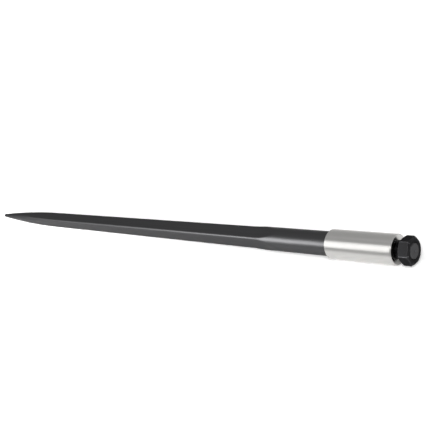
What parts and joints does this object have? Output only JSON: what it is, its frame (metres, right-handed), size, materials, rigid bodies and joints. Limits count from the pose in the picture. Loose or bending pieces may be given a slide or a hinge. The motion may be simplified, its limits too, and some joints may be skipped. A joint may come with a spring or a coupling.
{
  "type": "bale spear",
  "caption": "Forged bale spear with a conical point, a tapered square bar and a round shank, seated in a bare steel weld-in sleeve and held by a hex nut on its threaded end.",
  "frame": {"origin": "on the spear's axis, at the middle of the weld-in sleeve", "axes": "+X along the spear towards the threaded end, so the point is at -X; +Z square to a flat of the square bar, up when the spear lies on a flat"},
  "size_m": [1.2449, 0.054, 0.054],
  "materials": {
    "spear_coating": "black powder coat on forged steel, satin",
    "sleeve_steel": "bare steel, turned on the outside, faced and chamfered ends",
    "nut_black": "black oxide on machined steel, satin"
  },
  "bodies": {
    "root": {"spear": "spear_coating", "sleeve": "sleeve_steel", "nut": "nut_black"}
  },
  "joints": []
}
